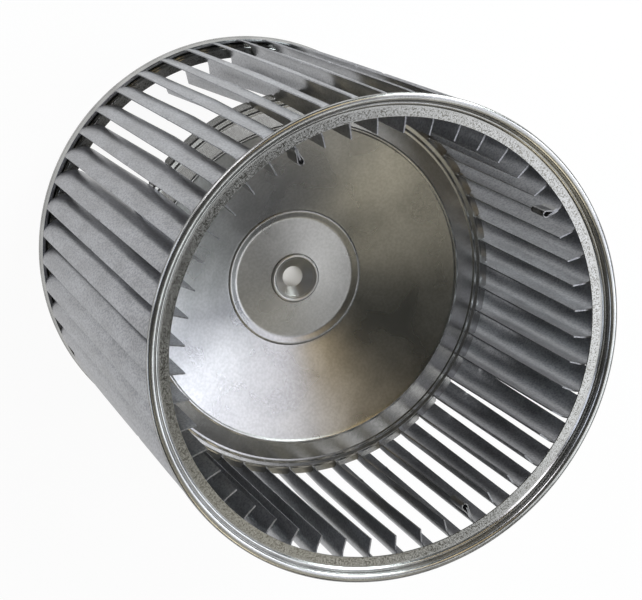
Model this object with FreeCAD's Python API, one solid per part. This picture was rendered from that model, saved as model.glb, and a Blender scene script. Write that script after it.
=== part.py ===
# Double-inlet blower wheel of galvanised sheet: a drum of forward-curved blades between two end rings,
# carried by a dished centre disc with slotted tabs and a swaged hub.
# Millimetres. The lower ring stands on z = 0 and +Z is the wheel's axis.
import FreeCAD
import Part
import math
import os

# Overall sizes
wheel_diameter = 270.0
wheel_width = 270.0

# Blades: tip is the inner edge, rim is the outer edge
blade_count = 48
blade_sheet = 0.8
blade_rim_gap = 0.7  # outer edge inside the ring's outline
blade_exit_lean = 66.0  # degrees between the outer lip and the radius at the outer edge
blade_turn = 75.9  # degrees that the blade bends through
blade_lip = 4.3  # straight stretch at the outer edge
blade_flat = 6.25  # straight stretch at the tip
blade_bend_radius = 13.2
blade_end_inset = 8.6  # full section ends this far inside the rings' crests
blade_neck_width = 4.6  # outer part of the section that goes on to the margin
blade_waist = 2.8  # inner edges stand this much further out at mid-width than at the ends

# Margin of the blade strip, held in the rings' beads
margin_sheet = 0.8
margin_height = 5.6
margin_top_inset = 2.2

# End rings
ring_sheet = 0.9
ring_clinch_gap = 0.4  # between the margin and the bead's inner wall, and over the neck
flange_width = 6.1
flange_inset = 5.3
ridge_foot = 1.2
ridge_rise = 1.6
groove_inset = 5.1
bead_width = 5.05
bead_wall_taper = 0.4
bead_inner_bevel = 1.3
bead_outer_bevel = 1.4
bead_side = 1.4  # upright outermost stretch of the bead
bead_hem_depth = 5.5
bead_hem_tuck = 1.65  # how far the bead's outer wall leans in at its lower edge

# Centre disc
disc_sheet = 1.2
rim_drop = 1.4  # outer edge of the tabs lies this far below mid-width
tab_overlap = 5.8  # tabs reach this far outwards from the blades' tips
slot_gap = 0.15  # between a blade's face and its slot
slot_end_gap = 0.3
tab_width = 3.5
rim_bead_width = 1.1
rim_bead_rise = 0.5
rim_slope_width = 2.3
rim_slope_rise = 0.9
band_width = 13.3
band_rise = 1.2
crest_width = 1.4
crest_rise = 0.4
cone_width = 54.4
cone_rise = 20.4
boss_groove_width = 1.0
boss_groove_rise = 0.7
boss_bead_width = 4.0
boss_bead_rise = 1.3

# Hub
bore_radius = 6.35
hub_wall = 7.45
hub_cone_inset = 1.8  # countersink's rim inside the spigot
hub_cone_depth = 5.6
hub_cone_step = 0.55  # countersink's floor outside the bore
hub_spigot_gap = 0.1
swage_width = 1.5
swage_height = 2.5
swage_groove = 0.6
shoulder_width = 2.0
hub_length = 38.0
hub_chamfer = 0.8

# Set screw
screw_radius = 3.97
screw_gap = 0.05
screw_proud = 1.0
screw_end_gap = 0.2
screw_inset = 12.0  # from the barrel's free end
screw_bevel = 0.5
screw_key = 4.0
screw_key_depth = 4.0

# Balance clips
clip_sheet = 0.5
clip_gap = 0.03
clip_grip = 2.3
clip_taper = 6.6
clip_loop_radius = 1.45
clip_loop_bulge = 1.7  # half the loop's width at its corners, before they are rounded
clip_length = 16.0
clip_blades = (8, 21, 32)

wheel_radius = wheel_diameter / 2
pitch = 360.0 / blade_count


def point(x, y, z=0.0):
    return FreeCAD.Vector(x, y, z)


def heading(degrees):
    """Unit vector in the XY plane at an angle from +X."""
    return point(math.cos(math.radians(degrees)), math.sin(math.radians(degrees)))


def turned(vector, degrees):
    """A vector of the XY plane turned about +Z."""
    along = heading(degrees)
    return point(vector.x * along.x - vector.y * along.y, vector.x * along.y + vector.y * along.x)


def left_of(direction):
    return point(-direction.y, direction.x)


def offset_corners(corners, distance):
    """Corners of the line that runs beside a polyline, to its left when the distance is positive."""
    runs = [(b - a).normalize() for a, b in zip(corners, corners[1:])]
    shifted = [corners[0] + left_of(runs[0]) * distance]
    for corner, before, after in zip(corners[1:], runs, runs[1:]):
        middle = (left_of(before) + left_of(after)).normalize()
        shifted.append(corner + middle * (distance / middle.dot(left_of(before))))
    shifted.append(corners[-1] + left_of(runs[-1]) * distance)
    return shifted


def rounded_edges(corners, bends):
    """Lines along a polyline with an arc of the given radius at each inner corner, sharp where it is 0."""
    edges = []
    start = corners[0]
    for before, corner, after, bend in zip(corners, corners[1:], corners[2:], bends):
        back = (before - corner).normalize()
        ahead = (after - corner).normalize()
        if bend <= 0:
            edges.append(Part.LineSegment(start, corner).toShape())
            start = corner
            continue
        half = back.getAngle(ahead) / 2
        reach = bend / math.tan(half)
        middle = corner + (back + ahead).normalize() * (bend / math.sin(half) - bend)
        arc_start = corner + back * reach
        arc_end = corner + ahead * reach
        edges.append(Part.LineSegment(start, arc_start).toShape())
        edges.append(Part.Arc(arc_start, middle, arc_end).toShape())
        start = arc_end
    edges.append(Part.LineSegment(start, corners[-1]).toShape())
    return edges


def sheet_section(corners, thickness, bends=()):
    """Face of a sheet of even thickness along a polyline, bent to the given radii or sharp at its corners."""
    half = thickness / 2
    bends = bends or [0] * (len(corners) - 2)
    runs = [b - a for a, b in zip(corners, corners[1:])]
    turns = [math.copysign(1, left_of(a).dot(b)) for a, b in zip(runs, runs[1:])]
    inner = [bend - turn * half if bend else 0 for bend, turn in zip(bends, turns)]
    outer = [bend + turn * half if bend else 0 for bend, turn in zip(bends, turns)]
    left = offset_corners(corners, half)
    right = offset_corners(corners, -half)
    left_edges = rounded_edges(left, inner)
    right_edges = rounded_edges(right, outer)
    ends = [Part.LineSegment(left[0], right[0]).toShape(), Part.LineSegment(left[-1], right[-1]).toShape()]
    wire = Part.Wire(Part.__sortEdges__(left_edges + right_edges + ends))
    return Part.Face(wire)


def revolved(section):
    """Solid of revolution about +Z from a section drawn with x as radius and y as height."""
    upright = section.copy()
    upright.rotate(point(0, 0), point(1, 0), 90)
    return upright.revolve(point(0, 0), point(0, 0, 1), 360)


def extruded(section, bottom, top):
    raised = section.copy()
    raised.translate(point(0, 0, bottom))
    return raised.extrude(point(0, 0, top - bottom))


def around(shape, index):
    """A copy of a shape turned to the blade of the given index."""
    copy = shape.copy()
    copy.rotate(point(0, 0), point(0, 0, 1), index * pitch)
    return copy


def mirrored(shape):
    """The shape's mirror image at the other end of the wheel."""
    return shape.mirror(point(0, 0, wheel_width / 2), point(0, 0, 1))


def blade_corners():
    """Outer edge, bend corner and tip of a blade's middle line, turned so that the tip lies on +X."""
    reach = blade_bend_radius * math.tan(math.radians(blade_turn / 2))
    rim_radius = wheel_radius - blade_rim_gap
    rim = point(rim_radius, 0)
    corner = rim - heading(blade_exit_lean) * (blade_lip + reach)
    tip = corner - heading(blade_exit_lean - blade_turn) * (reach + blade_flat)
    swing = -math.degrees(math.atan2(tip.y, tip.x))
    return [turned(place, swing) for place in (rim, corner, tip)]


def blade_section():
    return sheet_section(blade_corners(), blade_sheet, [blade_bend_radius])


def tip_radius():
    return blade_corners()[-1].Length


def margin_radius():
    """Middle radius of the strip's margin, just outside the bead's inner wall."""
    wall_outside = wheel_radius - bead_width + bead_wall_taper + ring_sheet
    return wall_outside + ring_clinch_gap + margin_sheet / 2


def polygon_column(radius, height):
    """Prism with one flat side for each gap between the blades."""
    corners = [heading(pitch * (index + 0.5)) * radius for index in range(blade_count)]
    return Part.Face(Part.makePolygon(corners + [corners[0]])).extrude(point(0, 0, height))


def margin_band():
    """Margin at the upper end: flat between the blades, where it is gathered."""
    middle = margin_radius()
    outer = polygon_column(middle + margin_sheet / 2, margin_height)
    band = outer.cut(polygon_column(middle - margin_sheet / 2, margin_height))
    band.translate(point(0, 0, wheel_width - margin_top_inset - margin_height))
    return band


def neck_top():
    """Height that the necks reach, just below the ring's lowest corner."""
    corners = ring_corners()
    sides = offset_corners(corners, ring_sheet / 2) + offset_corners(corners, -ring_sheet / 2)
    return min(corner.y for corner in sides) - ring_clinch_gap


def neck_section():
    """Outer part of a blade's section, which goes on into the margin."""
    neck_radius = wheel_radius - blade_rim_gap - blade_neck_width
    inside = Part.Face(Part.Wire(Part.makeCircle(neck_radius)))
    return blade_section().cut(inside).Faces[0]


def waist():
    """Solid of revolution that trims the blades' inner edges, widest at mid-width."""
    top = wheel_width - blade_end_inset
    corners = [
        point(0, blade_end_inset),
        point(tip_radius(), blade_end_inset),
        point(tip_radius() + blade_waist, wheel_width / 2),
        point(tip_radius(), top),
        point(0, top),
    ]
    return revolved(Part.Face(Part.makePolygon(corners + [corners[0]])))


def blade():
    """One blade with its inner part cut off beside the rings, so that only the necks go on."""
    cut_top = wheel_width - blade_end_inset
    whole = extruded(blade_section(), blade_end_inset, cut_top).cut(waist())
    neck = extruded(neck_section(), cut_top, neck_top())
    return whole.multiFuse([neck, mirrored(neck)])


def blade_strip():
    blades = [around(blade(), index) for index in range(blade_count)]
    band = margin_band()
    return band.multiFuse(blades + [mirrored(band)])


def ring_corners():
    """Middle line of the ring's sheet from the flange's inner edge over the bead to its hem."""
    half = ring_sheet / 2
    crest = wheel_width - half
    flange = crest - flange_inset
    side = wheel_radius - half
    groove = wheel_radius - bead_width + half
    ridge_start = groove - 2 * ridge_foot
    wall_top = groove + bead_wall_taper
    return [
        point(ridge_start - flange_width, flange),
        point(ridge_start, flange),
        point(ridge_start + ridge_foot, flange + ridge_rise),
        point(groove, crest - groove_inset),
        point(wall_top, crest - bead_inner_bevel),
        point(wall_top + bead_inner_bevel, crest),
        point(side - bead_outer_bevel, crest),
        point(side, crest - bead_outer_bevel),
        point(side, crest - bead_outer_bevel - bead_side),
        point(side - bead_hem_tuck, wheel_width - bead_hem_depth),
    ]


def end_ring():
    return revolved(sheet_section(ring_corners(), ring_sheet))


def rim_edge_height():
    return wheel_width / 2 - rim_drop


def disc_corners():
    """Middle line of the disc's sheet from the tabs' outer edge inwards to the hub's hole."""
    steps = [
        (tab_width, 0),
        (rim_bead_width, rim_bead_rise),
        (rim_slope_width, -rim_slope_rise),
        (band_width, -band_rise),
        (crest_width, -crest_rise),
        (cone_width, -cone_rise),
        (boss_groove_width, boss_groove_rise),
        (boss_bead_width, -boss_bead_rise),
    ]
    corners = [point(tip_radius() + tab_overlap, rim_edge_height() - disc_sheet / 2)]
    for width, rise in steps:
        corners.append(corners[-1] + point(-width, rise))
    corners.append(point(hub_spigot_radius() + hub_spigot_gap, corners[-1].y))
    return corners


def plateau_top():
    return disc_corners()[-1].y + disc_sheet / 2


def hub_spigot_radius():
    return bore_radius + hub_wall


def slot():
    """Slot for one blade: its section with clearance, from just inside its inner edge past the disc's edge."""
    rim, corner, tip = blade_corners()
    start = tip + (corner - tip).normalize() * (blade_waist - slot_end_gap)
    section = sheet_section([rim, corner, start], blade_sheet + 2 * slot_gap, [blade_bend_radius])
    return extruded(section, 0, wheel_width)


def centre_disc():
    sheet = revolved(sheet_section(disc_corners(), disc_sheet))
    return sheet.cut(Part.makeCompound([around(slot(), index) for index in range(blade_count)]))


def hub():
    """Turned barrel under the disc, a spigot through it and a swaged lip over it."""
    top = plateau_top()
    under = top - disc_sheet
    spigot = hub_spigot_radius()
    lip = spigot + swage_width
    barrel = spigot + shoulder_width
    crown = top + swage_height
    bottom = crown - hub_length
    cone_floor = crown - hub_cone_depth
    cone_edge = spigot - hub_cone_inset
    outline = [
        point(bore_radius, bottom),
        point(barrel - hub_chamfer, bottom),
        point(barrel, bottom + hub_chamfer),
        point(barrel, under),
        point(spigot, under),
        point(spigot, top),
        point(lip, top),
        point(lip, crown - swage_width),
        point(lip - swage_width, crown),
        point(cone_edge + swage_groove, crown),
        point(cone_edge, crown - swage_groove),
        point(bore_radius + hub_cone_step, cone_floor),
        point(bore_radius, cone_floor - swage_groove),
    ]
    section = Part.Face(Part.makePolygon(outline + [outline[0]]))
    hole = Part.makeCylinder(screw_radius, barrel, point(0, 0, screw_height()), point(1, 0, 0))
    return revolved(section).cut(hole)


def screw_height():
    return plateau_top() + swage_height - hub_length + screw_inset


def set_screw():
    """Socket set screw, radial in the barrel, with its key socket facing outwards."""
    start = bore_radius + screw_end_gap
    end = hub_spigot_radius() + shoulder_width + screw_proud
    axis = point(1, 0, 0)
    body = Part.makeCylinder(screw_radius - screw_gap, end - start, point(start, 0, screw_height()), axis)
    body = body.makeChamfer(screw_bevel, [edge for edge in body.Edges if edge.isClosed() and edge.Length > 1][:1])
    corner_radius = screw_key / math.sqrt(3)
    corners = [point(0, 0) + heading(60 * turn) * corner_radius for turn in range(6)]
    key = Part.Face(Part.makePolygon(corners + [corners[0]])).extrude(point(0, 0, screw_key_depth))
    key.rotate(point(0, 0), point(0, 1, 0), 90)
    key.translate(point(end - screw_key_depth, 0, screw_height()))
    return body.cut(key)


def balance_clip():
    """Spring clip on the blade's tip: two legs on the blade's faces and a teardrop loop inwards of it."""
    rim, corner, tip = blade_corners()
    outwards = (corner - tip).normalize()
    leg = blade_sheet / 2 + clip_gap + clip_sheet / 2
    grip_end = blade_flat
    pinch = grip_end - clip_grip
    loop_end = pinch - clip_taper
    outline = [(grip_end, leg), (pinch, leg), (loop_end, clip_loop_bulge)]
    outline += [(along, -side) for along, side in reversed(outline)]
    corners = [tip + outwards * along + left_of(outwards) * side for along, side in outline]
    bends = [clip_sheet, clip_loop_radius, clip_loop_radius, clip_sheet]
    top = wheel_width - blade_end_inset
    return extruded(sheet_section(corners, clip_sheet, bends), top - clip_length, top)


def build():
    ring = end_ring()
    nodes = {
        "blade_strip": blade_strip(),
        "end_ring_upper": ring,
        "end_ring_lower": mirrored(ring),
        "centre_disc": centre_disc(),
        "hub": hub(),
        "set_screw": set_screw(),
    }
    for number, index in enumerate(clip_blades, start=1):
        nodes[f"balance_clip_{number}"] = around(balance_clip(), index)
    return nodes


os.makedirs("parts", exist_ok=True)
for name, shape in build().items():
    shape.exportStep(f"parts/{name}.step")
    print(name, len(shape.Solids), shape.isValid(), round(shape.Volume, 1), shape.BoundBox)
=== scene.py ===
"""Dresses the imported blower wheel: surfaces, finishes, stage, lights and camera.

Everything is in metres, in the wheel's own frame: the lower ring stands on z = 0 and +Z is the wheel's axis.
"""
import math

import bpy
import numpy as np
from bpy.props import FloatProperty, FloatVectorProperty, IntProperty, PointerProperty
from mathutils import Matrix, Vector


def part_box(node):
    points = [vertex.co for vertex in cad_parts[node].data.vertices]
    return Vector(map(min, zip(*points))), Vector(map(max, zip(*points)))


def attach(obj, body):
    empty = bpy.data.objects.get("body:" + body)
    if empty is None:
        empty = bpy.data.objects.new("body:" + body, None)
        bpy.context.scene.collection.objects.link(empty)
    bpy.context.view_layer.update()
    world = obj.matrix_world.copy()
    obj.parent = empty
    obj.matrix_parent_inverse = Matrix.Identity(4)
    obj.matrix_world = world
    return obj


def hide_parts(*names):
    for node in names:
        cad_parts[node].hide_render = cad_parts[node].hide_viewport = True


bl_info = {
    "name": "Blower Wheel",
    "version": (1, 0, 0),
    "blender": (4, 5, 0),
    "location": "View3D > Sidebar > Wheel",
    "description": "Galvanised double-inlet blower wheel on a pale studio floor",
    "category": "Object",
}

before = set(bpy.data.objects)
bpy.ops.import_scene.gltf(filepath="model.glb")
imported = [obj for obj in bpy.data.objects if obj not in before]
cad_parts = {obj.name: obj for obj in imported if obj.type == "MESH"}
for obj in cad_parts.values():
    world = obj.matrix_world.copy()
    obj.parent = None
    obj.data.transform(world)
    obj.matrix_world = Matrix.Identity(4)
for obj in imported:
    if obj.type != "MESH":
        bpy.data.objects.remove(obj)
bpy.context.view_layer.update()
MM = 0.001

RING_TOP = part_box("end_ring_upper")[1]
DISC_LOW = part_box("centre_disc")[0]
DISC_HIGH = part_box("centre_disc")[1]
HUB_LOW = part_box("hub")[0]
HUB_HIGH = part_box("hub")[1]

# Points of an arc on a bent path, where a piece has no count of its own.
ARC_POINTS = 12
# Least cosine of half a corner's turn at which the lines beside a path keep their full distance.
MITRE_COSINE = 0.35
# The crest's place among the corners of the disc's section.
CREST_CORNER = 7


def length(label, default, text):
    """A size in millimetres, kept in metres."""
    return FloatProperty(name=label, description=text, default=default * MM, unit="LENGTH", precision=5)


def angle(label, default, text):
    """An angle in degrees, kept in radians."""
    return FloatProperty(name=label, description=text, default=math.radians(default), subtype="ANGLE")


def colour(label, default, text):
    """A colour in linear light."""
    return FloatVectorProperty(name=label, description=text, default=default, subtype="COLOR", min=0, max=1)


def share(label, default, text):
    """A part of a whole, from 0 to 1."""
    return FloatProperty(name=label, description=text, default=default, min=0, max=1, subtype="FACTOR")


class WheelSizes(bpy.types.PropertyGroup):
    """Overall sizes of the wheel, with the frame's values as defaults."""

    radius: length("Radius", RING_TOP.x / MM, "Outer radius over the end rings")
    width: length("Width", RING_TOP.z / MM, "Width over the end rings")
    blades: IntProperty(name="Blades", description="Number of blades and of disc slots", default=48, min=3)
    steps: IntProperty(name="Steps round", description="Steps round a turned surface", default=288, min=48)


class BladeSizes(bpy.types.PropertyGroup):
    """Section of a blade across the wheel's axis, from its outer edge to its tip, and its ends."""

    sheet: length("Sheet", 0.8, "Thickness of the blade strip")
    rim_gap: length("Rim gap", 0.7, "Distance of the outer edge inside the rings' outline")
    exit_lean: angle("Exit lean", 66.0, "Angle between the outer lip and the radius")
    turn: angle("Turn", 75.9, "Angle that the blade bends through")
    lip: length("Lip", 4.3, "Straight stretch at the outer edge")
    flat: length("Flat", 6.25, "Straight stretch at the tip")
    bend: length("Bend radius", 13.2, "Radius of the blade's bend")
    end_inset: length("End inset", 8.6, "Distance of the cut ends from the rings' crests")
    neck_inset: length("Neck inset", 6.9, "Distance of the necks' ends from the rings' crests")
    neck_width: length("Neck width", 7.6, "Developed width of the necks at the outer edge")
    waist: length("Waist", 3.0, "How far the tips stand further out at mid-width than at the ends")
    waist_turn: angle("Waist turn", -1.2, "How far the tips are turned at mid-width")
    flare: length("Flare", 0.45, "How far the blade opens towards its ends")
    flare_reach: length("Flare reach", 16.0, "Length over which the blade opens")
    curl: length("Curl", 0.9, "Curl of the outer corner beside the rings")
    nick: length("Nick", 1.1, "Depth of the nick in the outer edge at the disc")
    unevenness: angle("Unevenness", 0.04, "How much single blades lean out of the pattern")


class RingSizes(bpy.types.PropertyGroup):
    """Section of an end ring from the flange's inner edge to the bead's hem."""

    sheet: length("Sheet", 0.9, "Thickness of the ring")
    flange_width: length("Flange width", 6.1, "Width of the flat flange")
    flange_inset: length("Flange inset", 5.3, "Depth of the flange below the bead's crest")
    ridge_foot: length("Ridge foot", 1.2, "Half width of the ridge beside the flange")
    ridge_rise: length("Ridge rise", 2.3, "Height of the ridge's corner over the flange")
    groove_inset: length("Groove inset", 5.1, "Depth of the groove below the crest")
    bead_width: length("Bead width", 5.05, "Width of the rolled bead")
    wall_taper: length("Wall taper", 0.4, "Lean of the bead's inner wall")
    side: length("Side", 2.2, "Depth at which the bead's hem turns in")
    hem_depth: length("Hem depth", 5.5, "Depth of the bead's lower edge")
    hem_tuck: length("Hem tuck", 1.65, "How far the bead's hem leans in")
    clinch_gap: length("Clinch gap", 0.4, "Clearance between the bead's wall and the strip's margin")
    margin_inset: length("Margin inset", 2.2, "Distance of the margin's edge from the bead's crest")


class DiscSizes(bpy.types.PropertyGroup):
    """Section of the dished disc from its outer edge to the hub's hole."""

    sheet: length("Sheet", 1.2, "Thickness of the disc")
    tab_width: length("Tab width", 3.5, "Width of the tabs outside the rim's bead")
    tab_inset: length("Tab inset", 1.1, "Depth of the tabs below the disc's highest line")
    rim_bead: length("Rim bead", 1.1, "Width from the tabs to the rim bead's crest")
    rim_rise: length("Rim rise", 0.3, "Height of the rim bead over the tabs")
    rim_slope: length("Rim slope", 2.3, "Width of the rim bead's inner slope")
    rim_depth: length("Rim depth", 0.6, "Height of that slope")
    line_width: length("Line width", 1.2, "Half the width of the pressed line inside the rim's slope")
    line_rise: length("Line rise", 0.4, "Height of the pressed line")
    band: length("Band", 10.05, "Width of the band between the pressed line and the crest")
    band_rise: length("Band rise", 0.25, "Rise of the band")
    crest_width: length("Crest width", 0.9, "Width of the crest's outer slope")
    crest_rise: length("Crest rise", 0.3, "Height of that slope")
    crest_step: length("Crest step", 1.2, "Width of the crest's slope down to the cone")
    crest_fall: length("Crest fall", 0.9, "Height of that slope")
    cone_width: length("Cone width", 54.45, "Width of the cone")
    cone_rise: length("Cone rise", 20.65, "Height of the cone")
    boss_groove: length("Boss groove", 1.0, "Width of the step round the boss")
    boss_step: length("Boss step", 0.75, "Rise of that step")
    boss_bead: length("Boss bead", 4.0, "Width from the bead's crest to the plateau")
    boss_rise: length("Boss rise", 1.5, "Height of the bead over the plateau")
    dome: length("Dome", 1.5, "Rise of the plateau towards the hub")
    slot_gap: length("Slot gap", 0.15, "Clearance between a blade and its slot")


class HubSizes(bpy.types.PropertyGroup):
    """Turned hub, set screw and balance clips."""

    bore: length("Bore radius", 6.35, "Radius of the bore")
    spigot: length("Spigot radius", 13.8, "Radius of the part through the disc")
    lip: length("Lip", 1.5, "How far the swaged lip reaches over the disc")
    lip_radius: length("Lip radius", 1.5, "Radius of the swaged lip's round section")
    groove_width: length("Groove width", 0.35, "Width of the groove inside the lip")
    land: length("Land", 0.3, "Width of the countersink's edge beside the groove")
    land_inset: length("Land inset", 1.6, "Depth of that edge below the lip's crest")
    cone_depth: length("Cone depth", 5.6, "Depth of the countersink")
    cone_step: length("Cone step", 0.55, "Width of the countersink's floor outside the bore")
    cone_fall: length("Cone fall", 0.4, "Fall of that floor towards the bore")
    groove: length("Groove", 0.4, "Height of the groove's floor over the disc")
    chamfer: length("Chamfer", 0.8, "Chamfer of the barrel")
    screw: length("Screw radius", 3.92, "Radius of the set screw")
    thread: length("Thread pitch", 1.4, "Pitch of the set screw's thread")
    thread_depth: length("Thread depth", 0.45, "Depth of the set screw's thread")
    key: length("Key", 2.3, "Half the width of the screw's hexagon socket")
    clip_sheet: length("Clip sheet", 0.5, "Thickness of a balance clip")
    clip_gap: length("Clip gap", 0.03, "Clearance between a clip and its blade")
    clip_grip: length("Clip grip", 2.3, "Length of a clip's grip")
    clip_taper: length("Clip taper", 6.6, "Length from a clip's grip to its loop")
    clip_loop: length("Clip loop", 1.85, "Radius of a clip's loop")
    clip_tilts: FloatVectorProperty(
        name="Clip tilts",
        description="Lean of each loop in degrees",
        default=(10, -18, 0),
        size=3,
    )


class FinishColours(bpy.types.PropertyGroup):
    """Colours of the finishes."""

    blade: colour("Blade zinc", (0.35, 0.355, 0.37), "Galvanised blade strip")
    ring: colour("Ring zinc", (0.42, 0.42, 0.41), "Galvanised end rings")
    disc: colour("Disc zinc", (0.50, 0.495, 0.48), "Galvanised centre disc")
    hub: colour("Turned steel", (0.72, 0.71, 0.68), "Turned hub")
    clip: colour("Spring steel", (0.32, 0.32, 0.32), "Balance clips")
    screw: colour("Black screw", (0.05, 0.05, 0.05), "Set screw")
    floor: colour("Floor", (0.90, 0.90, 0.90), "Studio floor")


class StageSettings(bpy.types.PropertyGroup):
    """Camera and lights."""

    azimuth: angle("Azimuth", -93.26, "Direction from the aim point to the camera, round +Z")
    elevation: angle("Elevation", 65.41, "Height of the camera over the aim point")
    roll: angle("Roll", 124.86, "Turn of the camera about its line of sight")
    distance: length("Distance", 1118.7, "Distance from the aim point")
    aim_side: length("Aim side", 3.68, "Aim point along X")
    aim_depth: length("Aim depth", 11.28, "Aim point along Y")
    lens: FloatProperty(name="Lens", description="Focal length on a 36 mm sensor", default=104.44)
    shift: FloatVectorProperty(name="Shift", description="Lens shift", default=(0.0026, 0.0014), size=2)
    floor_radius: length("Floor radius", 8000.0, "Radius of the floor")
    floor_glow: share("Floor glow", 0.95, "Share of the backdrop's white that needs no light")
    room: colour("Room", (0.95, 1.0, 0.84), "Colour of the room's light")
    room_strength: FloatProperty(name="Room strength", description="Strength of that light", default=0.03)


GROUPS = {
    "wheel_sizes": WheelSizes,
    "wheel_blade": BladeSizes,
    "wheel_ring": RingSizes,
    "wheel_disc": DiscSizes,
    "wheel_hub": HubSizes,
    "wheel_finish": FinishColours,
    "wheel_stage": StageSettings,
}


def polar(radius, turn, height=0.0):
    """Points at a radius, an angle round +Z and a height, as an array with x, y, z last."""
    radius, turn, height = np.broadcast_arrays(radius, turn, height)
    return np.stack([radius * np.cos(turn), radius * np.sin(turn), height], axis=-1)


def bent_path(corners, bends, arc_points=ARC_POINTS):
    """Points along a polyline whose inner corners are arcs of the given radii.

    Each arc touches both runs at radius / tan(half the corner's angle) and is walked in equal turns. A corner
    with a radius of 0 stays sharp.
    """
    corners = np.asarray(corners, float)
    points = [corners[:1]]
    for before, corner, after, bend in zip(corners, corners[1:], corners[2:], bends):
        if bend <= 0:
            points.append(corner[None])
            continue
        back = (before - corner) / np.linalg.norm(before - corner)
        ahead = (after - corner) / np.linalg.norm(after - corner)
        half = math.acos(np.clip(back @ ahead, -1, 1)) / 2
        centre = corner + (back + ahead) / np.linalg.norm(back + ahead) * bend / math.sin(half)
        start = corner + back * bend / math.tan(half) - centre
        end = corner + ahead * bend / math.tan(half) - centre
        swing = math.pi - 2 * half
        part = np.linspace(0, 1, arc_points)[:, None]
        arc = np.sin((1 - part) * swing) * start + np.sin(part * swing) * end
        points.append(centre + arc / math.sin(swing))
    points.append(corners[-1:])
    return np.concatenate(points)


def resampled(path, spacing):
    """Adds even points on the runs of a path that are longer than the spacing."""
    steps = np.maximum(1, np.ceil(np.linalg.norm(np.diff(path, axis=0), axis=1) / spacing)).astype(int)
    pieces = [a + (b - a) * np.arange(n)[:, None] / n for a, b, n in zip(path, path[1:], steps)]
    return np.concatenate(pieces + [path[-1:]])


def side_steps(path):
    """For each point of a path, the step to its left that keeps a parallel line at distance 1."""
    runs = np.diff(path, axis=0)
    runs = runs / np.linalg.norm(runs, axis=1, keepdims=True)
    left = np.stack([-runs[:, 1], runs[:, 0]], axis=1)
    before = np.concatenate([left[:1], left])
    after = np.concatenate([left, left[-1:]])
    middle = before + after
    middle = middle / np.linalg.norm(middle, axis=1, keepdims=True)
    return middle / np.maximum(np.sum(middle * before, axis=1, keepdims=True), MITRE_COSINE)


def sheet_outline(path, thickness):
    """Closed outline of a sheet of even thickness along a path: its left side, then its right side back."""
    step = side_steps(path) * thickness / 2
    return np.concatenate([path + step, (path - step)[::-1]])


def quads(rows, columns, wrap_rows, wrap_columns):
    """Corner numbers of a grid's quads."""
    row = np.arange(rows if wrap_rows else rows - 1)
    column = np.arange(columns if wrap_columns else columns - 1)
    row, column = np.meshgrid(row, column, indexing="ij")
    next_row = (row + 1) % rows
    next_column = (column + 1) % columns
    corners = [row * columns + column, next_row * columns + column]
    corners += [next_row * columns + next_column, row * columns + next_column]
    return np.stack(corners, axis=-1).reshape(-1, 4)


def fold_cap(ring):
    """Quads that close an even ring of points: each joins two neighbours to the two across from them."""
    half = len(ring) // 2
    near, far = ring[:half], ring[half:][::-1]
    return np.stack([near[1:], near[:-1], far[:-1], far[1:]], axis=1)


def outward(points, faces):
    """Turns a closed shell's faces outwards.

    Its signed volume is then positive. It is summed over both triangles of each quad, as one corner's product
    with the cross product of the other two.
    """
    a, b, c, d = (points[faces[:, k]] for k in range(4))
    volume = np.sum(np.cross(a, b) * c) + np.sum(np.cross(a, c) * d)
    return points, faces if volume > 0 else faces[:, ::-1]


def turned_shell(outline, steps):
    """Shell of revolution: each point of a closed outline of radius and height goes once round +Z."""
    turn = np.arange(steps) * 2 * math.pi / steps
    points = polar(outline[:, :1], turn[None], outline[:, 1:])
    return outward(points.reshape(-1, 3), quads(len(outline), steps, True, True))


def sheet_shell(middle, sideways, thickness):
    """Closed shell round a middle surface: both faces lie half the thickness away and join at all edges."""
    loop = np.concatenate([middle + sideways * thickness / 2, (middle - sideways * thickness / 2)[::-1]])
    rows, columns = loop.shape[:2]
    faces = [quads(rows, columns, True, False)]
    edge = np.arange(rows // 2 - 1)
    for column in (0, columns - 1):
        other = rows - 1 - edge
        strip = np.stack([edge, edge + 1, other - 1, other], axis=1) * columns + column
        faces.append(strip if column else strip[:, ::-1])
    return outward(loop.reshape(-1, 3), np.concatenate(faces))


def surface_normals(middle):
    """Unit normals of a grid surface, from the differences along its rows and columns."""
    normal = np.cross(np.gradient(middle, axis=0), np.gradient(middle, axis=1))
    return normal / np.linalg.norm(normal, axis=-1, keepdims=True)


def standing_shell(flat, side, z, thickness):
    """Closed shell of a sheet that stands along +Z.

    Its section's points are given at each height, with the step to the section's left at each of them.
    """
    middle = np.concatenate([waisted(flat, z), z[..., None]], axis=-1)
    sideways = np.concatenate([side, np.zeros((len(side), 1))], axis=1)[:, None]
    return sheet_shell(middle, np.broadcast_to(sideways, middle.shape), thickness)


def mirrored_shell(shell, width):
    """A shell's mirror image at the other end of the wheel, with its faces turned back outwards."""
    points, faces = shell
    return points * (1, 1, -1) + (0, 0, width), faces[:, ::-1]


def make_piece(name, shells, material, nodes, crease=35):
    """Puts shells into one mesh that stands for CAD nodes and rides with the wheel."""
    starts = np.cumsum([0] + [len(points) for points, faces in shells[:-1]])
    points = np.concatenate([points for points, faces in shells])
    faces = np.concatenate([faces + start for (_, faces), start in zip(shells, starts)])
    mesh = bpy.data.meshes.new(name)
    mesh.from_pydata(points.tolist(), [], faces.tolist())
    mesh.shade_smooth()
    mesh.set_sharp_from_angle(angle=math.radians(crease))
    mesh.materials.append(material)
    piece = bpy.data.objects.new(name, mesh)
    bpy.context.scene.collection.objects.link(piece)
    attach(piece, "root")
    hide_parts(*nodes)


def sizes():
    """The scene's property groups by their names in GROUPS."""
    scene = bpy.context.scene
    return {key: getattr(scene, key) for key in GROUPS}


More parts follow.
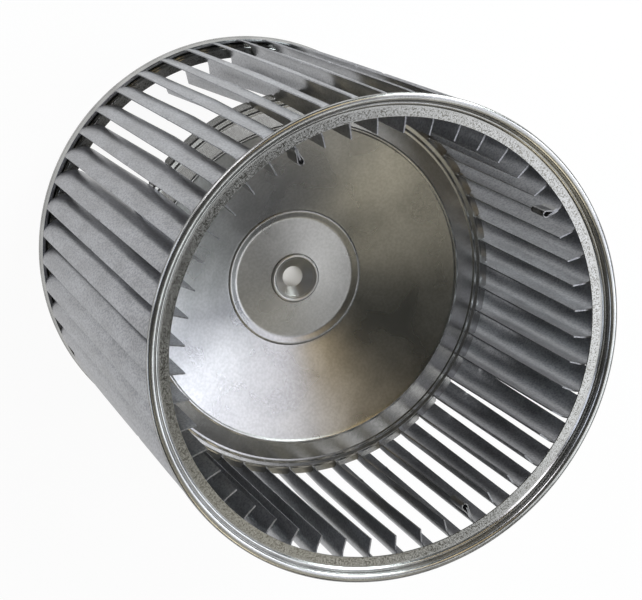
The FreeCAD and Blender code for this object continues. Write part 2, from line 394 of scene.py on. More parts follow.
def blade_corners():
    """Outer edge, bend corner and tip of a blade's middle line, turned so that the tip lies on +X."""
    group = sizes()
    blade = group["wheel_blade"]
    reach = blade.bend * math.tan(blade.turn / 2)
    rim = np.array([group["wheel_sizes"].radius - blade.rim_gap, 0.0])
    corner = rim - (blade.lip + reach) * np.array([math.cos(blade.exit_lean), math.sin(blade.exit_lean)])
    inner = blade.exit_lean - blade.turn
    tip = corner - (blade.flat + reach) * np.array([math.cos(inner), math.sin(inner)])
    swing = -math.atan2(tip[1], tip[0])
    turn = np.array([[math.cos(swing), math.sin(swing)], [-math.sin(swing), math.cos(swing)]])
    return np.array([rim, corner, tip]) @ turn


def blade_path():
    """Middle line of a blade from its outer edge to its tip, and the developed length at each point."""
    blade = sizes()["wheel_blade"]
    path = resampled(bent_path(blade_corners(), [blade.bend], arc_points=13), spacing=1.2 * MM)
    return path, np.concatenate([[0], np.cumsum(np.linalg.norm(np.diff(path, axis=0), axis=1))])


def waisted(flat, height):
    """Places of a blade's section at a height between the cut ends.

    The section is turned and shrunk about its outer edge, as one complex factor. The change grows evenly from
    nothing at the cut ends to its full size at mid-width, where the tip stands further out and turned.
    """
    group = sizes()
    blade = group["wheel_blade"]
    half = group["wheel_sizes"].width / 2
    rim, _, tip = (complex(*corner) for corner in blade_corners())
    goal = (abs(tip) + blade.waist) * np.exp(1j * blade.waist_turn)
    change = (goal - rim) / (tip - rim) - 1
    part = 1 - np.clip(np.abs(height - half) / (half - blade.end_inset), 0, 1)
    place = rim + (flat @ np.array([1, 1j]) - rim) * (1 + part * change)
    return np.stack([place.real, place.imag], axis=-1)


def blade_columns():
    """Heights of a blade's grid as shares of its length: close together at its ends and at the nick."""
    end = np.linspace(0, 0.12, 8)
    below_nick = [0.24, 0.36]
    nick = np.linspace(0.47, 0.5, 5)
    above_nick = [0.64, 0.76]
    return np.concatenate([end, below_nick, nick, above_nick, 1 - end[::-1]])


def blade_shell(lean, nick):
    """One blade standing on +X.

    The section is carried along +Z, from one end curve to the other. An end curve steps from the neck's end
    to the cut end, as a logistic function of the developed length. Near the ends the section opens by a
    falling exponential, and its outer corner curls. The outer edge has a nick at the disc, a bell curve of
    the height.
    """
    end_step = 0.25 * MM
    lip_reach = 4 * MM
    corner_reach = 1.1 * MM
    curl_reach = 1.6 * MM
    nick_reach = 1.6 * MM
    nick_place = 0.485
    group = sizes()
    blade = group["wheel_blade"]
    width = group["wheel_sizes"].width
    path, run = blade_path()
    side = side_steps(path)
    step = 1 / (1 + np.exp(-(run - blade.neck_width) / end_step))
    inset = blade.neck_inset + (blade.end_inset - blade.neck_inset) * step
    z = inset[:, None] + blade_columns()[None] * (width - 2 * inset[:, None])
    from_end = np.minimum(z, width - z) - blade.neck_inset
    outer = np.exp(-run / lip_reach)[:, None]
    corner = np.exp(-run / corner_reach)[:, None]
    opening = blade.flare * outer * np.exp(-from_end / blade.flare_reach)
    opening = opening + blade.curl * corner * np.exp(-from_end / curl_reach)
    hollow = nick * np.exp(-(((z - width * nick_place) / nick_reach) ** 2)) * corner
    flat = path[:, None] - side[:, None] * opening[..., None]
    flat = flat - (path[0] / np.linalg.norm(path[0]))[None, None] * hollow[..., None]
    points, faces = standing_shell(flat, side, z, blade.sheet)
    return turned_points(points, lean), faces


def turned_points(points, turn):
    """Points turned about +Z."""
    matrix = np.array([[math.cos(turn), math.sin(turn), 0], [-math.sin(turn), math.cos(turn), 0], [0, 0, 1]])
    return points @ matrix


def ring_corners():
    """Radius, height and bend radius of the corners of the ring's middle line, at the upper end.

    The list below gives the bend radii in millimetres.
    """
    group = sizes()
    ring = group["wheel_ring"]
    half = ring.sheet / 2
    crest = group["wheel_sizes"].width - half
    flange = crest - ring.flange_inset
    side = group["wheel_sizes"].radius - half
    groove = group["wheel_sizes"].radius - ring.bead_width + half
    ridge = groove - 2 * ring.ridge_foot
    corners = [
        (ridge - ring.flange_width, flange, 0),
        (ridge, flange, 0.5),
        (ridge + ring.ridge_foot, flange + ring.ridge_rise, 0.8),
        (groove, crest - ring.groove_inset, 0),
        (groove + ring.wall_taper, crest, 1.7),
        (side, crest, 1.5),
        (side, crest + half - ring.side, 1.2),
        (side - ring.hem_tuck, crest + half - ring.hem_depth, 0),
    ]
    return np.array(corners) * (1, 1, MM)


def ring_shell():
    """Turned shell of the upper end ring."""
    group = sizes()
    corners = ring_corners()
    path = bent_path(corners[:, :2], corners[1:-1, 2], arc_points=8)
    outline = sheet_outline(resampled(path, spacing=1.5 * MM), group["wheel_ring"].sheet)
    return turned_shell(outline, group["wheel_sizes"].steps)


def margin_shell():
    """Upper margin of the blade strip: a thin band, gathered so that its radius waves once for each blade."""
    wave_height = 0.1 * MM
    wave_steps = 8
    overlap = 0.6 * MM
    group = sizes()
    wheel = group["wheel_sizes"]
    blade = group["wheel_blade"]
    ring = group["wheel_ring"]
    inner = wheel.radius - ring.bead_width + ring.wall_taper + ring.sheet + ring.clinch_gap
    outer = inner + blade.sheet
    low = wheel.width - blade.neck_inset - overlap
    high = wheel.width - ring.margin_inset
    outline = np.array([(inner, low), (outer, low), (outer, high), (inner, high)])
    steps = wheel.blades * wave_steps
    turn = np.arange(steps) * 2 * math.pi / steps
    wave = wave_height * np.cos(turn * wheel.blades)
    points = polar(outline[:, :1] + wave[None], turn[None], outline[:, 1:])
    return outward(points.reshape(-1, 3), quads(len(outline), steps, True, True))


def disc_corners():
    """Places and bend radii of the corners of the disc's middle line, from the tabs' outer edge to the boss.

    A place is a radius and a height. A step is the run to the next corner, with that corner's bend radius,
    which the list below gives in millimetres.
    """
    edge_gap = 0.1 * MM
    disc = sizes()["wheel_disc"]
    steps = [
        (-disc.tab_width, 0.0, 1.5),
        (-disc.rim_bead, disc.rim_rise, 1.0),
        (-disc.rim_slope, -disc.rim_depth, 1.6),
        (-disc.line_width, disc.line_rise, 0.8),
        (-disc.line_width, -disc.line_rise, 1.0),
        (-disc.band, -disc.band_rise, 1.0),
        (-disc.crest_width, disc.crest_rise, 0.6),
        (-disc.crest_step, -disc.crest_fall, 0.9),
        (-disc.cone_width, -disc.cone_rise, 0.6),
        (-disc.boss_groove, disc.boss_step, 1.2),
        (-disc.boss_bead, -disc.boss_rise, 5.0),
    ]
    steps = np.array(steps) * (1, 1, MM)
    edge = (DISC_HIGH.x - DISC_LOW.x) / 2 - edge_gap
    start = np.array([[edge, DISC_HIGH.z - disc.sheet / 2 - disc.tab_inset]])
    return np.concatenate([start, start + np.cumsum(steps[:, :2], axis=0)]), steps[:, 2]


def disc_path():
    """Middle line of the disc as radius and height, from the tabs' outer edge inwards to the hub's hole.

    The plateau is a shallow dome, which rises with 1 less the square of its share of the boss's radius.
    """
    hole_gap = 0.1 * MM
    dome_steps = 9
    group = sizes()
    corners, bends = disc_corners()
    boss = corners[-1, 0]
    radius = np.linspace(boss, group["wheel_hub"].spigot + hole_gap, dome_steps + 1)[1:]
    plateau = corners[-1, 1] + group["wheel_disc"].dome * (1 - (radius / boss) ** 2)
    corners = np.concatenate([corners, np.stack([radius, plateau], axis=1)])
    return resampled(bent_path(corners, bends, arc_points=7), spacing=2.5 * MM)


def disc_shells():
    """The disc up to its slots as a turned shell, and one sheet for each tab.

    A tab's rows follow the disc's middle line, and its columns run between the slots' walls on both sides,
    which lean with the blades. Its outer corners are rounded by a pull inwards, which grows as a square
    towards the slots and as a high power towards the outer edge.
    """
    tip_gap = 0.5 * MM
    overlap = 0.2 * MM
    rows_count = 14
    columns_count = 15
    corner_width = 1.2 * MM
    corner_pull = 0.9 * MM
    corner_power = 6
    group = sizes()
    disc = group["wheel_disc"]
    wheel = group["wheel_sizes"]
    path = disc_path()
    radius = path[:, 0]
    line = waisted(blade_path()[0], wheel.width / 2)
    slot_start = np.linalg.norm(line[-1]) - tip_gap
    inside = path[radius < slot_start]
    edge = np.array([[slot_start, np.interp(slot_start, radius[::-1], path[::-1, 1])]])
    shells = [turned_shell(sheet_outline(np.concatenate([edge, inside]), disc.sheet), wheel.steps)]
    line_radius = np.linalg.norm(line, axis=1)[::-1]
    line_turn = np.arctan2(line[:, 1], line[:, 0])[::-1]
    rows = np.linspace(slot_start - overlap, radius[0], rows_count)
    height = np.interp(rows, radius[::-1], path[::-1, 1])
    lean = np.interp(rows, line_radius, line_turn)
    gap = (group["wheel_blade"].sheet / 2 + disc.slot_gap) / rows
    pitch = 2 * math.pi / wheel.blades
    across = np.linspace(0, 1, columns_count)
    turn = lean[:, None] + gap[:, None] + across[None] * (pitch - 2 * gap[:, None])
    from_corner = np.minimum(across, 1 - across) * pitch * rows[-1] / corner_width
    pull = corner_pull * np.maximum(0, 1 - from_corner) ** 2
    along = np.linspace(0, 1, rows_count) ** corner_power
    middle = polar(rows[:, None] - pull[None] * along[:, None], turn, height[:, None])
    points, faces = sheet_shell(middle, surface_normals(middle), disc.sheet)
    for index in range(wheel.blades):
        shells.append((turned_points(points, index * pitch), faces))
    return shells


def hub_shell():
    """Turned shell of the hub: barrel, shoulder, spigot, swaged lip, groove, countersink and bore.

    A corner is a radius, a height and a bend radius in millimetres. The lip's bends are a little under its
    full round, so that a short run stays between them.
    """
    lip_gap = 0.05 * MM
    round_gap = 0.02 * MM
    group = sizes()
    hub = group["wheel_hub"]
    plateau = disc_path()[-1, 1] + group["wheel_disc"].sheet / 2
    under = plateau - group["wheel_disc"].sheet
    crown = HUB_HIGH.z
    barrel = (HUB_HIGH.x - HUB_LOW.x) / 2
    lip = hub.spigot + hub.lip
    lip_bend = (hub.lip_radius - round_gap) / MM
    inner = lip - 2 * hub.lip_radius
    groove = plateau + hub.groove
    seat = inner - hub.groove_width
    corners = [
        (hub.bore, HUB_LOW.z, 0),
        (barrel - hub.chamfer, HUB_LOW.z, 0.2),
        (barrel, HUB_LOW.z + hub.chamfer, 0.2),
        (barrel, under, 0.2),
        (hub.spigot, under, 0),
        (hub.spigot, plateau + lip_gap, 0),
        (lip, plateau + lip_gap, 0.3),
        (lip, crown, lip_bend),
        (inner, crown, lip_bend),
        (inner, groove, 0.2),
        (seat, groove, 0.2),
        (seat - hub.land, crown - hub.land_inset, 0.3),
        (hub.bore + hub.cone_step, crown - hub.cone_depth, 0.8),
        (hub.bore, crown - hub.cone_depth - hub.cone_fall, 0),
    ]
    corners = np.array(corners) * (1, 1, MM)
    path = resampled(bent_path(corners[:, :2], corners[1:-1, 2]), spacing=1.5 * MM)
    bore = np.linspace(corners[-1, :2], corners[0, :2], ARC_POINTS)[1:-1]
    return turned_shell(np.concatenate([path, bore]), group["wheel_sizes"].steps // 2)


def screw_shell():
    """Set screw along +X: rings from the socket's floor over the mouth and along the thread to the point.

    The socket's radius is a hexagon's, key / cos(angle from the nearest flat). The thread's radius is a
    triangle wave of the distance along the screw less the turn round it.
    """
    hub = sizes()["wheel_hub"]
    socket_depth = 4 * MM
    mouth_chamfer = 0.3 * MM
    mouth_radius = hub.key * 1.25
    shoulder_radius = hub.screw * 0.86
    shoulder_width = 0.6 * MM
    point_radius = hub.screw * 0.7
    point_width = 0.8 * MM
    thread_rings = 56
    pole_share = 0.02
    pole_radius = 0.02 * MM
    steps = 96
    low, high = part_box("set_screw")
    centre = (low.z + high.z) / 2
    turn = np.arange(steps) * 2 * math.pi / steps
    flat = math.pi / 3
    hexagon = hub.key / np.cos((turn + flat / 2) % flat - flat / 2)
    mouth = high.x
    floor = mouth - socket_depth
    along = np.linspace(mouth - shoulder_width, low.x + point_width, thread_rings)
    phase = (along[:, None] / hub.thread - turn[None] / (2 * math.pi)) % 1
    thread = hub.screw - hub.thread_depth * np.abs(2 * phase - 1)
    rings = [(hexagon * pole_share, floor), (hexagon, floor), (hexagon, mouth - mouth_chamfer)]
    rings += [(np.full(steps, mouth_radius), mouth), (np.full(steps, shoulder_radius), mouth)]
    rings += list(zip(thread, along))
    rings += [(np.full(steps, point_radius), low.x), (np.full(steps, pole_radius), low.x)]
    radius = np.array([ring for ring, _ in rings])
    place = np.array([place for _, place in rings])[:, None]
    across = centre + radius * np.sin(turn)
    points = np.stack(np.broadcast_arrays(place, radius * np.cos(turn), across), axis=-1).reshape(-1, 3)
    faces = quads(len(rings), steps, False, True)
    caps = [fold_cap(np.arange(steps)), fold_cap(len(points) - 1 - np.arange(steps))]
    return outward(points, np.concatenate([faces, *caps]))


def clip_shell(node):
    """Balance clip on the blade nearest to its CAD node: a teardrop loop with two legs, carried along +Z.

    The loop leans about the pinch, where the legs leave the blade, as one complex factor.
    """
    rows_count = 6
    group = sizes()
    hub = group["wheel_hub"]
    blade = group["wheel_blade"]
    loop_side = hub.clip_loop * 1.17
    _, corner, tip = blade_corners()
    outwards = (corner - tip) / np.linalg.norm(corner - tip)
    left = np.array([-outwards[1], outwards[0]])
    leg = blade.sheet / 2 + hub.clip_gap + hub.clip_sheet / 2
    pinch = blade.flat - hub.clip_grip
    upper = [complex(blade.flat, leg), complex(pinch, leg), complex(pinch - hub.clip_taper, loop_side)]
    shape = np.array(upper + [spot.conjugate() for spot in reversed(upper)])
    lean = np.exp(1j * math.radians(hub.clip_tilts[int(node[-1]) - 1]))
    shape = pinch + (shape - pinch) * np.where(shape.real < pinch, lean, 1)
    corners = tip + outwards * shape.real[:, None] + left * shape.imag[:, None]
    bends = [hub.clip_sheet, hub.clip_loop, hub.clip_loop, hub.clip_sheet]
    path = resampled(bent_path(corners, bends), spacing=1.2 * MM)
    low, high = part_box(node)
    z = np.broadcast_to(np.linspace(low.z, high.z, rows_count), (len(path), rows_count))
    flat = np.broadcast_to(path[:, None], (len(path), rows_count, 2))
    points, faces = standing_shell(flat, side_steps(path), z, hub.clip_sheet)
    pitch = 2 * math.pi / group["wheel_sizes"].blades
    centre = (low + high) / 2
    turn = round(math.atan2(centre.y, centre.x) / pitch) * pitch
    return turned_points(points, turn), faces


WHITE = (1, 1, 1)
# Range of a noise's values that the roughness follows.
CLOUD_RANGE = (0.3, 0.7)


class Finish:
    """A material under construction, with its Object coordinates and its shader."""

    def __init__(self, name):
        self.material = bpy.data.materials.new(name)
        self.material.use_nodes = True
        self.tree = self.material.node_tree
        self.shader = self.tree.nodes["Principled BSDF"]
        self.place = self.tree.nodes.new("ShaderNodeTexCoord").outputs["Object"]

    def node(self, kind, settings=None, **links):
        """Adds a node. Each link names an input and gives a value or an output.

        An input's name has underscores for its spaces, or it is the letter i and the input's number.
        """
        node = self.tree.nodes.new("ShaderNode" + kind)
        for key, value in (settings or {}).items():
            setattr(node, key, value)
        for key, value in links.items():
            socket = node.inputs[int(key[1:])] if key[1:].isdigit() else node.inputs[key.replace("_", " ")]
            self.join(value, socket)
        return node

    def join(self, value, socket):
        """Links an output to an input, or sets the input's own value."""
        if isinstance(value, bpy.types.NodeSocket):
            self.tree.links.new(value, socket)
        else:
            socket.default_value = value

    def scaled(self, x, y, z):
        """Object coordinates stretched along each axis."""
        return self.node("Mapping", Vector=self.place, Scale=(x, y, z)).outputs[0]

    def radius(self):
        """Distance from the wheel's axis."""
        flat = self.scaled(1, 1, 0)
        return self.node("VectorMath", {"operation": "LENGTH"}, i0=flat).outputs["Value"]

    def noise(self, scale, detail, place=None, distortion=0.0):
        """Soft noise with about the given number of cells to a metre, or to a unit of the given place."""
        vector = place or self.place
        node = self.node("TexNoise", Vector=vector, Scale=scale, Detail=detail, Distortion=distortion)
        return node.outputs["Fac"]

    def grain(self, size):
        """Crystals of about the given size in metres, each with its own grey."""
        cells = self.node("TexVoronoi", Vector=self.place, Scale=1 / size)
        return self.node("SeparateColor", Color=cells.outputs["Color"]).outputs[0]

    def spread(self, value, low, high, new_low, new_high):
        """A value carried from one range to another and held at its ends."""
        node = self.node("MapRange", i0=value, i1=low, i2=high, i3=new_low, i4=new_high)
        return node.outputs[0]

    def ramp(self, value, stops):
        """Colours at places between 0 and 1."""
        node = self.node("ValToRGB", Fac=value)
        elements = node.color_ramp.elements
        for _ in stops[2:]:
            elements.new(0.5)
        for element, (position, tone) in zip(elements, stops):
            element.position = position
            element.color = (*tone, 1)
        return node.outputs["Color"]

    def mix(self, part, first, second, blend="MIX"):
        """Two colours mixed by the second one's part."""
        node = self.node("Mix", {"data_type": "RGBA", "blend_type": blend}, i0=part, i6=first, i7=second)
        return node.outputs[2]

    def bump(self, height, distance, strength):
        """Relief of the given depth in metres."""
        node = self.node("Bump", Height=height, Distance=distance, Strength=strength)
        self.join(node.outputs[0], self.shader.inputs["Normal"])

    def metal(self, base, roughness, metallic=1.0):
        """Ends the material with its colour and roughness."""
        self.shader.inputs["Metallic"].default_value = metallic
        self.join(base, self.shader.inputs["Base Color"])
        self.join(roughness, self.shader.inputs["Roughness"])
        return self.material


def tint(tone, factor):
    """A colour made lighter or darker, up to white."""
    return tuple(min(1.0, channel * factor) for channel in tone)


def blade_zinc(tone):
    """Dull hot-dip zinc: clouds drawn out along the blades, with fine pale and dark grain over them."""
    finish = Finish("blade_zinc")
    clouds = finish.noise(1.0, detail=4.0, place=finish.scaled(120, 120, 30))
    grain = finish.noise(1.0, detail=3.0, place=finish.scaled(900, 900, 600))
    dark_grain = (0.44, 0.45, 0.47)
    base = finish.ramp(clouds, [(0.36, tint(tone, 0.8)), (0.64, tint(tone, 1.12))])
    fine = finish.ramp(grain, [(0.36, dark_grain), (0.60, WHITE)])
    base = finish.mix(0.75, base, fine, blend="MULTIPLY")
    finish.bump(clouds, distance=0.6 * MM, strength=0.12)
    return finish.metal(base, finish.spread(clouds, *CLOUD_RANGE, 0.29, 0.37), metallic=0.75)


def ring_zinc(tone):
    """Mottled zinc on the flange: bright crystals and dark brown pits. The rolled bead is smoother."""
    finish = Finish("ring_zinc")
    ridge = ring_corners()[1, 0]
    flange = finish.spread(finish.radius(), ridge - 1.8 * MM, ridge - 0.5 * MM, 1, 0)
    specks = finish.noise(1200.0, detail=2.0)
    clouds = finish.noise(60.0, detail=3.0)
    grain = finish.grain(1.0 * MM)
    brown = (0.17, 0.165, 0.145)
    pits = finish.ramp(specks, [(0.37, brown), (0.46, tint(tone, 0.88)), (0.64, tint(tone, 1.15))])
    pits = finish.mix(0.12, pits, finish.ramp(grain, [(0, tint(tone, 0.7)), (1, tint(tone, 1.2))]))
    smooth = finish.ramp(clouds, [(0.3, tint(tone, 0.85)), (0.7, tint(tone, 1.15))])
    finish.bump(specks, distance=0.04 * MM, strength=0.4)
    base = finish.mix(flange, smooth, pits)
    return finish.metal(base, finish.spread(specks, *CLOUD_RANGE, 0.17, 0.27), metallic=0.92)


def disc_zinc(tone):
    """Semi-bright zinc with soft clouds and a fine grain. The band outside the crest is pressed smoother."""
    finish = Finish("disc_zinc")
    clouds = finish.noise(38.0, detail=2.0, distortion=0.4)
    specks = finish.noise(620.0, detail=1.0)
    dark_specks = (0.76, 0.755, 0.74)
    base = finish.ramp(clouds, [(0.32, tint(tone, 0.86)), (0.68, tint(tone, 1.1))])
    fine = finish.ramp(specks, [(0.36, dark_specks), (0.64, WHITE)])
    base = finish.mix(0.5, base, fine, blend="MULTIPLY")
    crest = disc_corners()[0][CREST_CORNER, 0]
    band = finish.spread(finish.radius(), crest - 1.5 * MM, crest + 0.5 * MM, 0, 1)
    cone_roughness = finish.spread(clouds, *CLOUD_RANGE, 0.26, 0.32)
    band_roughness = 0.24
    roughness = finish.node("Mix", i0=band, i2=cone_roughness, i3=band_roughness).outputs[0]
    return finish.metal(base, roughness, metallic=0.92)


def turned_steel(tone):
    """Bright steel with fine turning marks: rings on the distance from the axis and along it."""
    finish = Finish("turned_steel")
    parts = finish.node("SeparateXYZ", Vector=finish.place)
    run = finish.node("Math", {"operation": "ADD"}, i0=finish.radius(), i1=parts.outputs[2]).outputs[0]
    marks = finish.node("CombineXYZ", X=run)
    marks = finish.node("Mapping", Vector=marks.outputs[0], Scale=(5200, 1, 1))
    lines = finish.noise(1.0, detail=3.0, place=marks.outputs[0])
    base = finish.ramp(lines, [(0.3, tint(tone, 0.8)), (0.7, tint(tone, 1.12))])
    finish.bump(lines, distance=0.04 * MM, strength=0.5)
    return finish.metal(base, finish.spread(lines, *CLOUD_RANGE, 0.34, 0.46))


def spring_steel(tone):
    """Plated spring steel with darker and lighter clouds."""
    finish = Finish("spring_steel")
    clouds = finish.noise(260.0, detail=3.0)
    base = finish.ramp(clouds, [(0.3, tint(tone, 0.75)), (0.7, tint(tone, 1.25))])
    finish.bump(clouds, distance=0.05 * MM, strength=0.3)
    return finish.metal(base, finish.spread(clouds, *CLOUD_RANGE, 0.26, 0.42))


def black_oxide(tone):
    """Black oxide with a faint sheen and lighter, rubbed spots."""
    finish = Finish("black_oxide")
    clouds = finish.noise(900.0, detail=2.0)
    base = finish.ramp(clouds, [(0.35, tone), (0.75, tint(tone, 2.6))])
    return finish.metal(base, finish.spread(clouds, *CLOUD_RANGE, 0.32, 0.5))


def studio_white(tone, glow):
    """Pale floor that takes the wheel's shadow.

    The camera, gloss and clear materials also see part of it as white that needs no light.
    """
    finish = Finish("studio_white")
    clouds = finish.noise(3.0, detail=2.0)
    finish.join(finish.ramp(clouds, [(0, tint(tone, 0.99)), (1, tone)]), finish.shader.inputs["Base Color"])
    finish.shader.inputs["Roughness"].default_value = 0.9
    finish.shader.inputs["Specular IOR Level"].default_value = 0.1
    path = finish.node("LightPath")
    seen = path.outputs["Is Camera Ray"]
    for ray in ("Is Glossy Ray", "Is Transmission Ray"):
        seen = finish.node("Math", {"operation": "MAXIMUM"}, i0=seen, i1=path.outputs[ray]).outputs[0]
    amount = finish.node("Math", {"operation": "MULTIPLY"}, i0=seen, i1=glow)
    white = finish.node("Emission", Color=(*WHITE, 1), Strength=1.0)
    mixed = finish.node("MixShader", i0=amount.outputs[0], i1=finish.shader.outputs[0], i2=white.outputs[0])
    finish.join(mixed.outputs[0], finish.tree.nodes["Material Output"].inputs["Surface"])
    return finish.material


# Seed of the small differences between the blades, and the range of their nicks' shares of the full depth.
BLADE_SEED = 7
NICK_SHARES = (0.5, 1.2)


class MakeBlades(bpy.types.Operator):
    """Makes the blade strip: all blades and both margins"""

    bl_idname = "wheel.blades"
    bl_label = "Blade Strip"

    def execute(self, context):
        group = sizes()
        count = group["wheel_sizes"].blades
        rng = np.random.default_rng(BLADE_SEED)
        leans = rng.normal(0, group["wheel_blade"].unevenness, count)
        nicks = group["wheel_blade"].nick * rng.uniform(*NICK_SHARES, count)
        shells = []
        for index, (lean, nick) in enumerate(zip(leans, nicks)):
            points, faces = blade_shell(lean, nick)
            shells.append((turned_points(points, index * 2 * math.pi / count), faces))
        margin = margin_shell()
        shells += [margin, mirrored_shell(margin, group["wheel_sizes"].width)]
        finish = blade_zinc(group["wheel_finish"].blade)
        make_piece("blade_strip_surface", shells, finish, ["blade_strip"])
        return {"FINISHED"}


class MakeRings(bpy.types.Operator):
    """Makes both end rings"""

    bl_idname = "wheel.rings"
    bl_label = "End Rings"

    def execute(self, context):
        group = sizes()
        finish = ring_zinc(group["wheel_finish"].ring)
        upper = ring_shell()
        lower = mirrored_shell(upper, group["wheel_sizes"].width)
        make_piece("end_ring_upper_surface", [upper], finish, ["end_ring_upper"])
        make_piece("end_ring_lower_surface", [lower], finish, ["end_ring_lower"])
        return {"FINISHED"}


class MakeDisc(bpy.types.Operator):
    """Makes the dished centre disc with its tabs"""

    bl_idname = "wheel.disc"
    bl_label = "Centre Disc"

    def execute(self, context):
        finish = disc_zinc(sizes()["wheel_finish"].disc)
        make_piece("centre_disc_surface", disc_shells(), finish, ["centre_disc"])
        return {"FINISHED"}


class MakeHub(bpy.types.Operator):
    """Makes the turned hub and its set screw"""

    bl_idname = "wheel.hub"
    bl_label = "Hub"

    def execute(self, context):
        colours = sizes()["wheel_finish"]
        steel = turned_steel(colours.hub)
        make_piece("hub_surface", [hub_shell()], steel, ["hub"], crease=40)
        black = black_oxide(colours.screw)
        make_piece("set_screw_surface", [screw_shell()], black, ["set_screw"])
        return {"FINISHED"}


class MakeClips(bpy.types.Operator):
    """Makes the balance clips on the blades' tips"""

    bl_idname = "wheel.clips"
    bl_label = "Balance Clips"

    def execute(self, context):
        finish = spring_steel(sizes()["wheel_finish"].clip)
        for node in sorted(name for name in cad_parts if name.startswith("balance_clip")):
            make_piece(f"{node}_surface", [clip_shell(node)], finish, [node])
        return {"FINISHED"}


# The lamps' distance and side, and how far the camera sees, in metres. The sensor's width is in millimetres.
LAMP_DISTANCE = 2.0
LAMP_SIZE = 0.8
CAMERA_REACH = 20
SENSOR_WIDTH = 36


def aimed(location, target):
    """Matrix of a lamp or camera at a place, looking at a target, with its top up."""
    direction = Vector(target) - Vector(location)
    return Matrix.Translation(location) @ direction.to_track_quat("-Z", "Y").to_matrix().to_4x4()


def place_round(target, azimuth, elevation, distance):
    """Point seen from a target at an azimuth, an elevation and a distance."""
    level = distance * math.cos(elevation)
    step = Vector((level * math.cos(azimuth), level * math.sin(azimuth), distance * math.sin(elevation)))
    return Vector(target) + step


def add_lamp(name, azimuth, elevation, power, tone):
    """Square soft light aimed at the wheel's middle."""
    lamp = bpy.data.lights.new(name, "AREA")
    lamp.shape = "SQUARE"
    lamp.size = LAMP_SIZE
    lamp.energy = power
    lamp.color = tone
    target = Vector((0, 0, RING_TOP.z / 2))
    place = place_round(target, math.radians(azimuth), math.radians(elevation), LAMP_DISTANCE)
    item = bpy.data.objects.new(name, lamp)
    item.matrix_world = aimed(place, target)
    bpy.context.scene.collection.objects.link(item)


# Soft lights: name, azimuth and elevation in degrees, power in watts, colour.
LAMPS = (
    ("key_softbox", 140, 34, 9.5, (0.90, 0.94, 1.0)),
    ("second_key_softbox", 120, 45, 3.0, (0.74, 0.78, 1.0)),
    ("upper_key_softbox", 154, 56, 4.0, (0.88, 0.89, 1.0)),
    ("front_softbox", 100, 40, 3.8, (0.90, 0.97, 1.0)),
    ("top_softbox", 103, 58, 3.2, (0.97, 0.98, 1.0)),
    ("left_softbox", 180, 12, 39.0, (0.90, 0.98, 1.0)),
    ("left_upper_softbox", 180, 34, 9.0, (0.90, 0.98, 1.0)),
    ("edge_softbox", -154, 56, 2.6, (1.0, 0.75, 0.38)),
    ("back_softbox", -108, 12, 10.0, (0.97, 0.94, 1.0)),
    ("side_softbox", -72, 12, 5.0, (0.80, 0.85, 1.0)),
    ("right_softbox", -36, 12, 3.5, (0.78, 0.86, 1.0)),
    ("warm_low_softbox", 20, 34, 5.0, (1.0, 0.90, 0.68)),
    ("warm_softbox", 51, 56, 1.4, (1.0, 0.95, 0.80)),
    ("warm_front_softbox", 60, 34, 1.0, (1.0, 0.97, 0.93)),
    ("warm_side_softbox", 0, 56, 0.9, (1.0, 0.93, 0.75)),
)


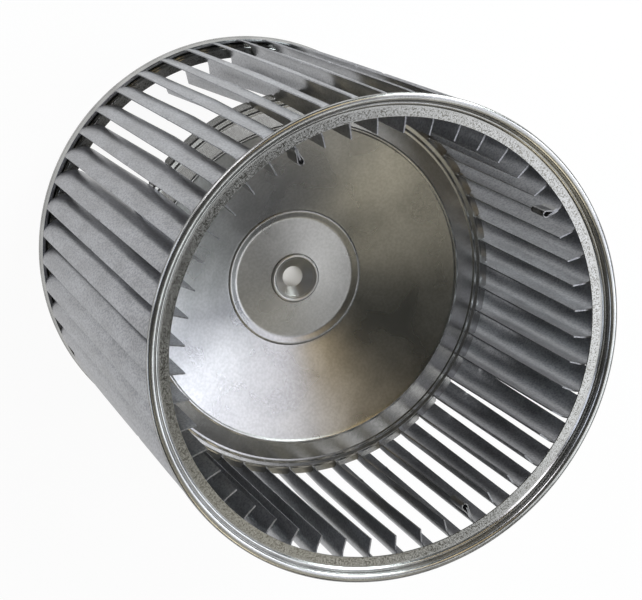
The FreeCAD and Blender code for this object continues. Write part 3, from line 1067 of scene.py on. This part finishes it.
class MakeStage(bpy.types.Operator):
    """Makes the floor, the lights and the camera"""

    bl_idname = "wheel.stage"
    bl_label = "Stage"

    def execute(self, context):
        group = sizes()
        stage = group["wheel_stage"]
        self.add_floor(stage, group["wheel_finish"].floor)
        self.add_world(stage)
        for lamp in LAMPS:
            add_lamp(*lamp)
        self.add_camera(stage)
        context.scene.view_settings.view_transform = "Standard"
        return {"FINISHED"}

    def add_floor(self, stage, tone):
        """Flat disc under the wheel, a grid of rings and spokes round a small middle face."""
        steps = 64
        turn = np.arange(steps) * 2 * math.pi / steps
        rings = np.array([0.01, 0.5, 1.0]) * stage.floor_radius
        points = polar(rings[:, None], turn[None]).reshape(-1, 3)
        faces = quads(len(rings), steps, False, True).tolist() + [list(range(steps))[::-1]]
        mesh = bpy.data.meshes.new("studio_floor")
        mesh.from_pydata(points.tolist(), [], faces)
        mesh.materials.append(studio_white(tone, stage.floor_glow))
        floor = bpy.data.objects.new("studio_floor", mesh)
        bpy.context.scene.collection.objects.link(floor)

    def add_world(self, stage):
        """Even light of the room."""
        world = bpy.data.worlds.new("studio_room")
        world.use_nodes = True
        background = world.node_tree.nodes["Background"]
        background.inputs["Color"].default_value = (*stage.room, 1)
        background.inputs["Strength"].default_value = stage.room_strength
        bpy.context.scene.world = world

    def add_camera(self, stage):
        """Camera at the photograph's angle, whose picture of 642 by 600 is as wide as the sensor."""
        camera = bpy.data.cameras.new("photo_view")
        camera.lens = stage.lens
        camera.sensor_width = SENSOR_WIDTH
        camera.shift_x, camera.shift_y = stage.shift
        camera.clip_end = CAMERA_REACH
        item = bpy.data.objects.new("photo_view", camera)
        target = Vector((stage.aim_side, stage.aim_depth, RING_TOP.z / 2))
        place = place_round(target, stage.azimuth, stage.elevation, stage.distance)
        item.matrix_world = aimed(place, target) @ Matrix.Rotation(stage.roll, 4, "Z")
        bpy.context.scene.collection.objects.link(item)
        bpy.context.scene.camera = item


PIECES = (MakeBlades, MakeRings, MakeDisc, MakeHub, MakeClips, MakeStage)


class WheelPanel(bpy.types.Panel):
    """Lists the wheel's pieces in the sidebar"""

    bl_idname = "VIEW3D_PT_wheel"
    bl_label = "Blower Wheel"
    bl_space_type = "VIEW_3D"
    bl_region_type = "UI"
    bl_category = "Wheel"

    def draw(self, context):
        for key, group in GROUPS.items():
            box = self.layout.box()
            for name in group.__annotations__:
                box.prop(getattr(context.scene, key), name)
        for piece in PIECES:
            self.layout.operator(piece.bl_idname)


def register():
    """Registers the classes and gives the scene its property groups."""
    for item in (*GROUPS.values(), *PIECES, WheelPanel):
        bpy.utils.register_class(item)
    for key, group in GROUPS.items():
        setattr(bpy.types.Scene, key, PointerProperty(type=group))


def unregister():
    """Undoes what register does."""
    for key in GROUPS:
        delattr(bpy.types.Scene, key)
    for item in reversed((*GROUPS.values(), *PIECES, WheelPanel)):
        bpy.utils.unregister_class(item)


def main():
    register()
    bpy.ops.wheel.blades()
    bpy.ops.wheel.rings()
    bpy.ops.wheel.disc()
    bpy.ops.wheel.hub()
    bpy.ops.wheel.clips()
    bpy.ops.wheel.stage()


if __name__ == "__main__":
    main()
